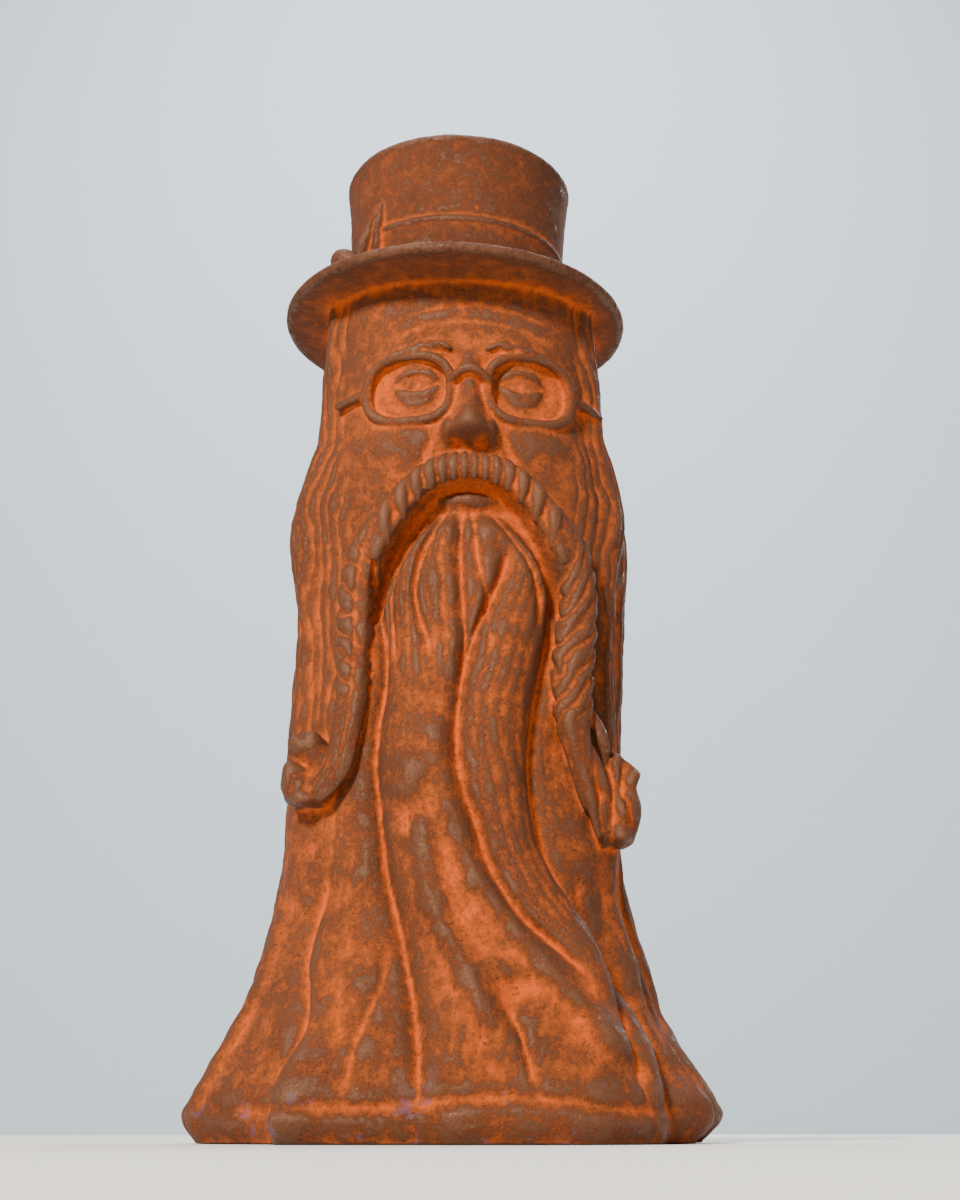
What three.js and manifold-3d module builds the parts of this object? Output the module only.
// Cast iron garden statue: a long-bearded man in a top hat and spectacles, cast in one piece.
// Millimetres, +Z up. He faces -Y, so +X is on the viewer's right. The origin is the middle of
// the underside, on the surface that he stands on.

import * as THREE from "three";
import { mergeVertices } from "three/addons/utils/BufferGeometryUtils.js";
import Module from "manifold-3d";

const wasm = await Module();
wasm.setup();

const { clamp, degToRad, lerp, smoothstep } = THREE.MathUtils;

// ---- Driving dimensions ---------------------------------------------------------------------

const HEIGHT = 250; // underside to the top of the hat
const BRIM_LEVEL = 208; // middle of the brim's thickness
const CORE_TOP = 209; // the figure ends inside the hat
const SQUARENESS = 2.25; // of the figure's section: 2 is an ellipse, more is boxier
const STEP_BACK = 2; // the finished statue moves back by this, so that the origin is its middle

// The figure's outline: [height, half width, depth in front, depth behind, middle's place in x].
const OUTLINE = [
  [0, 58.5, 39, 42, -1],
  [7, 61, 40, 43, 0.2],
  [16, 55.5, 38, 41, 0],
  [28, 49.1, 35, 37.5, -0.7],
  [42, 45, 31.5, 34, 0],
  [58, 41.8, 29.5, 31.5, 0.2],
  [82, 40.6, 29, 31, 0.3],
  [108, 40.2, 28.5, 32, 0.7],
  [129, 40.6, 28.5, 34, 1.6],
  [147, 42.5, 28.8, 36, 1.3],
  [160, 40.6, 29.5, 36, 1.3],
  [171, 37.2, 30.5, 35, 1.6],
  [184, 36.3, 31, 34.5, 1.7],
  [209, 34.8, 30, 33, 1.4],
];

// Lines up the front, between the locks of the beard and the folds of the robe: [height, across].
const LINES = {
  leftFold: [[0, -36], [11, -36.5], [24, -31], [40, -32.5], [62, -28], [85, -27], [128, -24]],
  beardLeft: [[0, -6], [20, -6.2], [39, -9.5], [58, -15.5], [82, -17.5], [103, -13.5], [122, -14], [147, -6]],
  middle: [[0, 20], [20, 24], [33, 28], [45, 17.5], [58, 9], [77, 2.5], [92, 1.3], [105, 3], [124, 9.5]],
  beardRight: [[0, 41], [11, 39.4], [28, 36], [42, 34], [56, 25], [78, 18], [92, 18], [117, 22], [147, 14]],
  rightFold: [[0, 48], [20, 46.3], [35, 39.5], [52, 31], [70, 30], [110, 33], [128, 34], [150, 33]],
  lip: [[106, 2.6], [118, 3], [133, 2]],
  hook: [[9, 18], [20, 15], [31, 9.5]],
  shin: [[6, 4], [30, 3.5], [45, 1], [62, -5], [76, -8.5]],
};

// Grooves along those lines: depth, half width, and the heights between which each is cut.
const GROOVES = [
  { line: "leftFold", depth: 2.2, width: 2.6, from: 4, to: 56 },
  { line: "beardLeft", depth: 2.6, width: 2.4, from: 7, to: 138 },
  { line: "middle", depth: 3, width: 2.6, from: 34, to: 138 },
  { line: "beardRight", depth: 2.6, width: 2.6, from: 5, to: 136 },
  { line: "rightFold", depth: 1.8, width: 2.6, from: 4, to: 50 },
  { line: "lip", depth: 1.6, width: 1.5, from: 106, to: 133 },
  { line: "hook", depth: 2.2, width: 1.8, from: 8, to: 31 },
  { line: "shin", depth: 1.2, width: 2.2, from: 6, to: 70 },
];
const GROOVE_END = 9; // a groove runs out over this height at either end

// Single hollows and swellings of the beard and folds: [across, height, half width, half height,
// rise].
const SWELLINGS = [
  [-8.5, 70, 4.5, 6, -1.8],
  [14, 31, 6, 7, -2.4],
  [-24, 14, 9, 16, 2.4],
  [28, 18, 8, 20, 1.8],
  [0, 30, 5, 26, 1.4],
  [10, 88, 6, 22, 1.2],
  [-7, 95, 5, 24, 0.8],
];

const BEARD = { rise: 4.4, top: 147 };
const PANEL = { rise: 6, top: 62 }; // the robe's front panel over its sides
const HAIR = { rise: 1.6, foot: 86, locks: 11, step: 1.8 };
const FOLDS = { rise: 2.2, count: 11, top: 78 };

// The face, on the plain division into thirds: brow, foot of the nose and chin equally far apart.
const FACE_THIRD = 24;
const CHIN = 138;
const NOSE_FOOT = CHIN + FACE_THIRD;
const BROW = NOSE_FOOT + FACE_THIRD;
const EYE_LEVEL = BROW - FACE_THIRD / 3;
const EYE_WIDTH = 11.6;
const EYE_APART = 13.2; // each eye's middle from the face's middle
const FACE_MIDDLE = 4; // in x, as the head looks a little to the viewer's right

// The moustache's arch across the face's middle: its top, and how far it drops at a span.
const MOUSTACHE = {
  above: { top: 156.5, drop: 27.5, span: 24, power: 2.6 },
  below: { top: 150.6, drop: 16, span: 18.2, power: 2.4 },
  rise: 4.2,
  locks: 5, // on each side, then one long end that runs down to the plait
  end: [[13, 150.5, 3.4], [18.5, 146, 4], [22.2, 139, 3.6], [23.6, 130, 2.4]],
};

const PLAITS = [
  {
    way: [[-17.5, 135, 1.5], [-20, 122, 2], [-20.5, 103, 2.8], [-23.5, 85, 4], [-29, 73.5, 5]],
    thick: [[0, 2], [0.2, 4.4], [0.5, 4.8], [0.72, 3.2], [0.9, 2.8], [1, 1.4]],
  },
  {
    way: [[27.5, 136, 1.5], [30, 124, 2], [27.6, 96, 2.6], [28.7, 82, 3], [26.8, 67, 2.4]],
    thick: [[0, 2.2], [0.2, 4.8], [0.5, 5], [0.75, 3.8], [0.9, 3], [1, 1.4]],
  },
];
const PLAIT_TURNS = 3.5;

// Each cuff: its places down the side, [across, height, rise], and how thick it is along them.
const CUFFS = [
  { way: [[-34.5, 100, -4], [-34.2, 90, -1.4], [-33.4, 80, 0.4], [-33, 74, 1]], folds: 5 },
  { way: [[36.5, 96, -4.5], [36.2, 85, -1.6], [35.4, 72, 0.6], [35, 65.5, 1.2]], folds: 6 },
];
const CUFF_THICK = [[0, 3.4], [0.4, 5.6], [0.8, 6.9], [0.95, 6.4], [1, 4.6]];

const RIM = { across: 10.2, up: 8.7, apart: 14.6, level: 176.5, thick: 1.25 };

const HAT = {
  tilt: degToRad(1.2),
  brimRadius: 45.4,
  brimThick: 2.8,
  crownFoot: 28.4,
  crownTop: 30.5,
  bandTop: 226,
  bandRise: 0.5,
  lift: 0.6, // how far the tilt lifts one side of the crown
};
const BOW = { turn: degToRad(-66), level: 216 };

// ---- Curves -----------------------------------------------------------------------------------

// A smooth curve through rows of [height, value, ...]: gives the values at a height.
function through(rows) {
  const heights = rows.map((row) => row[0]);
  const values = rows.flatMap((row) => row.slice(1));
  const curve = new THREE.CubicInterpolant(heights, values, rows[0].length - 1);
  return (z) => Array.from(curve.evaluate(z));
}

const outlineAt = through(OUTLINE);
const lineAt = Object.fromEntries(Object.entries(LINES).map(([name, rows]) => [name, through(rows)]));
const across = (name, z) => lineAt[name](z)[0];

const bell = (x, width) => Math.exp(-((x / width) ** 2));

// 1 between low and high, falling to 0 over `run` at either end.
const between = (z, low, high, run) =>
  smoothstep(z, low, low + run) * (1 - smoothstep(z, high - run, high));

const arch = ({ top, drop, span, power }, x) => top - drop * (Math.abs(x) / span) ** power;

// ---- The figure's relief ------------------------------------------------------------------------

// A point of the plain outline at an angle round it, and the way out of the surface there.
// Angle 0 faces -Y, and a quarter turn is +X.
function outlinePoint(angle, z) {
  const [half, front, behind, middle] = outlineAt(z);
  const s = Math.sin(angle);
  const c = Math.cos(angle);
  const depth = c > 0 ? front : behind;
  const power = 2 / SQUARENESS;
  const x = middle + half * Math.sign(s) * Math.abs(s) ** power;
  const y = -depth * Math.sign(c) * Math.abs(c) ** power;
  const out = new THREE.Vector3(s / half, -c / depth, 0).normalize();
  return { at: new THREE.Vector3(x, y, z), out };
}

// The angle at which the outline's front lies at x.
function angleAt(x, z) {
  const [half, , , middle] = outlineAt(z);
  const share = clamp((x - middle) / half, -1, 1);
  return Math.asin(Math.sign(share) * Math.abs(share) ** (SQUARENESS / 2));
}

function beard(x, z) {
  const left = across("beardLeft", z);
  const right = across("beardRight", z);
  const t = (2 * x - left - right) / (right - left);
  if (z > BEARD.top || Math.abs(t) > 1) return 0;
  const top = 1 - smoothstep(z, BEARD.top - 30, BEARD.top);
  return BEARD.rise * top * (1 - Math.abs(t) ** 3) ** 0.7;
}

function panel(x, z) {
  const left = across("leftFold", z);
  const right = across("rightFold", z);
  const inside = smoothstep(x, left - 1, left + 4) * (1 - smoothstep(x, right - 5, right + 1));
  return PANEL.rise * inside * (1 - smoothstep(z, 0, PANEL.top));
}

const grooves = (x, z) =>
  GROOVES.reduce((sum, { line, depth, width, from, to }) => {
    const gap = Math.abs(x - across(line, z));
    return sum - depth * Math.exp(-gap / width) * between(z, from, to, GROOVE_END);
  }, 0);

const swellings = (x, z) =>
  SWELLINGS.reduce((sum, [u, v, w, h, rise]) => sum + rise * bell(x - u, w) * bell(z - v, h), 0);

// Forehead, brows, eye sockets and cheeks, and the arch that carries the moustache.
function face(x, z) {
  const v = Math.abs(x - FACE_MIDDLE);
  const brows = 2.2 * bell(v - 12, 9) * bell(z - BROW - 1.5, 3.4);
  const sockets = -4 * bell(v - EYE_APART, 8) * bell(z - EYE_LEVEL + 0.5, 6.5);
  const cheeks = 1.6 * bell(v - 16, 8) * bell(z - NOSE_FOOT - 3, 7);
  const top = arch(MOUSTACHE.above, v);
  const foot = arch(MOUSTACHE.below, v);
  const band = smoothstep(top - z, -1, 3) * smoothstep(z - foot, -1.2, 1.2);
  const mouth = -3 * smoothstep(foot - z, -0.5, 2) * (1 - smoothstep(foot - z, 6, 13));
  const near = 1 - smoothstep(v, 20, 26);
  return brows + sockets + cheeks + (MOUSTACHE.rise * band + mouth) * near;
}

// Locks of hair that hang over the sides and the back, and stand out from the robe there.
function hair(angle, z) {
  const side = smoothstep(Math.abs(angle), 0.8, 1.15);
  const back = smoothstep(Math.abs(angle), 1.7, 2.1);
  const sway = 0.5 * Math.sin((z - 90) / 17) + 0.3 * Math.sin(z / 9);
  const lock = Math.cos(HAIR.locks * angle + sway);
  const foot = HAIR.foot - 6 * lock;
  const top = smoothstep(z, foot, foot + 10);
  return side * top * HAIR.rise * lock + back * top * HAIR.step;
}

function robeFolds(angle, z) {
  const side = smoothstep(Math.abs(angle), 1.0, 1.3);
  const run = 1 - smoothstep(z, 20, FOLDS.top);
  return side * run * FOLDS.rise * Math.cos(FOLDS.count * angle + 0.5 * Math.sin(z / 16));
}

function surfacePoint(angle, z) {
  const { at, out } = outlinePoint(angle, z);
  const carved = [beard, panel, grooves, swellings, face];
  const front = Math.cos(angle) > 0 ? carved.reduce((sum, part) => sum + part(at.x, z), 0) : 0;
  return at.addScaledVector(out, front + hair(angle, z) + robeFolds(angle, z));
}

// ---- The figure: a lathe whose points are moved onto that surface ---------------------------------

// Columns follow the lines, so that the mesh has its edges in the grooves: the number is how many
// columns lie between a line and the one before it.
const RAILS = [["leftFold", 5], ["beardLeft", 5], ["middle", 6], ["beardRight", 5], ["rightFold", 4]];
const SIDE_COLUMNS = 5; // from the right fold to the side
const BACK_COLUMNS = 21;
const ROW_STEP = 6.6;
const FACE_ROW_STEP = 3.8;

function columnAngles(z) {
  const angles = [];
  let start = -Math.PI / 2;
  for (const [line, count] of RAILS) {
    const end = angleAt(across(line, z), z);
    for (let i = 0; i < count; i++) angles.push(lerp(start, end, i / count));
    start = end;
  }
  for (let i = 0; i < SIDE_COLUMNS; i++) angles.push(lerp(start, Math.PI / 2, i / SIDE_COLUMNS));
  for (let i = 0; i < BACK_COLUMNS; i++) angles.push(lerp(0.5, 1.5, i / BACK_COLUMNS) * Math.PI);
  return angles.map((angle) => (angle > Math.PI ? angle - 2 * Math.PI : angle));
}

function rowHeights() {
  const rows = [0, 2.5];
  while (rows.at(-1) + ROW_STEP < BEARD.top - 6) rows.push(rows.at(-1) + ROW_STEP);
  while (rows.at(-1) + FACE_ROW_STEP < CORE_TOP) rows.push(rows.at(-1) + FACE_ROW_STEP);
  return [...rows, CORE_TOP];
}

function figure() {
  const rows = rowHeights();
  const grid = rows.map((z) => columnAngles(z).map((angle) => surfacePoint(angle, z)));
  const profile = [0, ...rows.keys(), rows.length - 1].map((row, i, all) =>
    new THREE.Vector2(i % (all.length - 1) ? 1 : 0, row),
  );
  const geometry = new THREE.LatheGeometry(profile, grid[0].length);
  const place = geometry.getAttribute("position");
  for (let i = 0; i < place.count; i++) {
    const column = Math.floor(i / profile.length) % grid[0].length;
    const step = i % profile.length;
    const row = profile[step].y;
    const point = profile[step].x ? grid[row][column] : new THREE.Vector3(0, 0, rows[row]);
    place.setXYZ(i, point.x, point.y, point.z);
  }
  return geometry;
}

// ---- Pieces laid on the figure ----------------------------------------------------------------------

// Each is first shaped flat: x runs across, y is the height and z stands out from the outline.
function laidOn(geometry, middle = 0) {
  const place = geometry.getAttribute("position");
  for (let i = 0; i < place.count; i++) {
    const [x, z] = [middle + place.getX(i), place.getY(i)];
    const { at, out } = outlinePoint(angleAt(x, z), z);
    at.addScaledVector(out, place.getZ(i));
    place.setXYZ(i, at.x, at.y, at.z);
  }
  return geometry;
}

const laidOnFace = (geometry) => laidOn(geometry, FACE_MIDDLE);

// A rod through points, whose radius may change along it and round it.
function rod(places, radiusAt, rings, sides) {
  const curve = new THREE.CatmullRomCurve3(places.map((place) => new THREE.Vector3(...place)));
  const frames = curve.computeFrenetFrames(rings);
  const profile = [new THREE.Vector2(0, 0)];
  for (let ring = 0; ring <= rings; ring++) profile.push(new THREE.Vector2(1, ring));
  profile.push(new THREE.Vector2(0, rings));
  const geometry = new THREE.LatheGeometry(profile, sides);
  const place = geometry.getAttribute("position");
  for (let i = 0; i < place.count; i++) {
    const ring = Math.round(place.getY(i));
    const t = ring / rings;
    const radius = radiusAt(t, Math.atan2(place.getX(i), place.getZ(i)));
    const point = curve
      .getPointAt(t)
      .addScaledVector(frames.normals[ring], place.getZ(i) * radius)
      .addScaledVector(frames.binormals[ring], place.getX(i) * radius);
    place.setXYZ(i, point.x, point.y, point.z);
  }
  return geometry;
}

const swelling = (least, most) => (t) => least + (most - least) * Math.sin(Math.PI * t);

function ball([x, y, z], [wide, high, deep], columns = 10, rows = 6) {
  return new THREE.SphereGeometry(1, columns, rows).scale(wide, high, deep).translate(x, y, z);
}

function moustache() {
  const sides = [-1, 1].map((side) => {
    const locks = [...Array(MOUSTACHE.locks).keys()].map((i) => {
      const root = 0.9 + 2.5 * i;
      const tip = root + 1.2 + i;
      const high = arch(MOUSTACHE.above, root);
      const low = arch(MOUSTACHE.below, tip) - 0.4;
      const places = [
        [side * root, high, 1.2],
        [side * (root * 0.4 + tip * 0.6 + 1), (high + low) / 2 + 0.8, MOUSTACHE.rise],
        [side * tip, low, MOUSTACHE.rise - 0.6],
      ];
      return rod(places, swelling(0.6, 2), 3, 5);
    });
    const end = MOUSTACHE.end.map(([x, z, rise]) => [side * x, z, rise]);
    return [...locks, rod(end, swelling(1, 3.4), 5, 6)];
  });
  return sides.flat().map(laidOnFace);
}

// A plait hangs from either end of the moustache: two strands twisted together.
function plait({ way, thick }) {
  const thickAt = through(thick);
  const strands = (t, turn) => 1 + 0.2 * Math.cos(2 * (turn + Math.PI * PLAIT_TURNS * t));
  return laidOn(rod(way, (t, turn) => thickAt(t)[0] * strands(t, turn), 16, 7));
}

// A bell-shaped cuff hangs at each side and ends bluntly, with folds that run down into it.
function cuff({ way, folds }) {
  const thickAt = through(CUFF_THICK);
  const fold = (turn) => 1 + 0.08 * Math.cos(folds * turn);
  return laidOn(rod(way, (t, turn) => thickAt(t)[0] * fold(turn), 6, 14));
}

function nose() {
  const tip = [0, NOSE_FOOT + 3, 6.4];
  const ridge = rod([[0, EYE_LEVEL + 4, 0.6], [0, EYE_LEVEL - 6, 3], tip], (t) => 2.2 + 2.4 * t * t, 3, 7);
  const wings = [-1, 1].map((side) => ball([side * 4.2, NOSE_FOOT + 2.2, 2.8], [2.7, 2.6, 3], 7, 5));
  return [ridge, ball(tip, [3.9, 3.5, 3.7], 9, 6), ...wings].map(laidOnFace);
}

const eyes = () =>
  [-1, 1].map((side) => laidOnFace(ball([side * EYE_APART, EYE_LEVEL, -4.6], [EYE_WIDTH / 2, 3.9, 4.2])));

const lip = () => laidOnFace(ball([0, MOUSTACHE.below.top - 2.6, -1], [6.6, 2, 2.8]));

function spectacles() {
  const { across: wide, up, apart, level, thick } = RIM;
  const wire = () => thick;
  const rims = [-1, 1].map((side) =>
    new THREE.TorusGeometry(1, thick / wide, 4, 16)
      .scale(wide, up, wide)
      .translate(side * apart, level, 0.9),
  );
  const inner = apart - wide;
  const bridge = rod(
    [[-inner - 0.4, level + 1, 1.4], [0, level + 3.4, 3.4], [inner + 0.4, level + 1, 1.4]],
    wire,
    4,
    5,
  );
  const arms = [-1, 1].map((side) => {
    const hinge = [side * (apart + wide - 0.4), level + 0.5, 0.8];
    const ear = [side * 31.5, level + 1.2, 1];
    return rod([hinge, [side * 29, level + 1.2, 1], ear], wire, 3, 5);
  });
  return [...rims, bridge, ...arms].map(laidOnFace);
}

// ---- The hat --------------------------------------------------------------------------------------------

function hatBody() {
  const half = HAT.brimThick / 2;
  const band = HAT.crownFoot + HAT.bandRise;
  const profile = [
    [0, BRIM_LEVEL - half],
    [HAT.brimRadius - 1, BRIM_LEVEL - half],
    [HAT.brimRadius, BRIM_LEVEL],
    [HAT.brimRadius - 1, BRIM_LEVEL + half],
    [band + 1.5, BRIM_LEVEL + half],
    [band, BRIM_LEVEL + half + 1.6],
    [band + 0.2, HAT.bandTop - 0.8],
    [HAT.crownFoot + 0.3, HAT.bandTop],
    [lerp(HAT.crownFoot, HAT.crownTop, 0.5), HEIGHT - 10],
    [HAT.crownTop, HEIGHT - 1.6],
    [HAT.crownTop - 1.2, HEIGHT - HAT.lift],
    [0, HEIGHT - HAT.lift],
  ].map(([r, z]) => new THREE.Vector2(r, z));
  // The lathe turns about Y, so it is stood up along Z.
  return new THREE.LatheGeometry(profile, 32).rotateX(Math.PI / 2);
}

// A ribbon bow on the crown: a knot with two loops, and two pointed tails on the band.
function bow() {
  const on = (turn, reach, rise) => [
    Math.sin(BOW.turn + turn) * reach,
    -Math.cos(BOW.turn + turn) * reach,
    BOW.level + rise,
  ];
  const loops = [-1, 1].map((side) =>
    rod([on(0, 29, 0), on(side * 0.2, 35.5, 5 - side), on(side * 0.34, 31, 1)], swelling(1.6, 3.6), 4, 6),
  );
  const tails = [0.5, 0.68].map((turn, i) =>
    rod([on(turn - 0.2, 29, -3), on(turn, 29.6, 5), on(turn + 0.06, 29, 12 + i)], swelling(0.5, 2), 3, 5),
  );
  return [ball(on(0, 30, 0), [4, 4, 4.2], 7, 5), ...loops, ...tails];
}

const tilted = (geometry) =>
  geometry.translate(0, 0, -BRIM_LEVEL).rotateY(HAT.tilt).translate(0, 0, BRIM_LEVEL);

// ---- One casting ----------------------------------------------------------------------------------------

function solid(geometry) {
  geometry.deleteAttribute("normal");
  geometry.deleteAttribute("uv");
  const merged = mergeVertices(geometry, 1e-3);
  return new wasm.Manifold(
    new wasm.Mesh({
      numProp: 3,
      vertProperties: merged.getAttribute("position").array,
      triVerts: new Uint32Array(merged.index.array),
    }),
  );
}

const pieces = [
  figure(),
  ...[hatBody(), ...bow()].map(tilted),
  ...PLAITS.map(plait),
  ...CUFFS.map(cuff),
  ...moustache(),
  ...nose(),
  ...eyes(),
  lip(),
  ...spectacles(),
];

const casting = pieces.map(solid).reduce((whole, piece) => whole.add(piece));

// Spaces closed in between the pieces are solid iron too: only the outer skin is kept.
const { vertProperties, triVerts } = casting
  .decompose()
  .reduce((skin, body) => (body.volume() > skin.volume() ? body : skin))
  .getMesh();

const surface = new THREE.BufferGeometry();
surface.setAttribute("position", new THREE.BufferAttribute(vertProperties, 3));
surface.setIndex(new THREE.BufferAttribute(triVerts, 1));
surface.translate(0, STEP_BACK, 0);
surface.computeVertexNormals();

const rustedIron = new THREE.MeshStandardMaterial({ color: 0x8f4a1e, roughness: 0.75, metalness: 0.25 });
const statue = new THREE.Mesh(surface, rustedIron);
statue.name = "statue";

const group = new THREE.Group();
group.add(statue);

export default group;
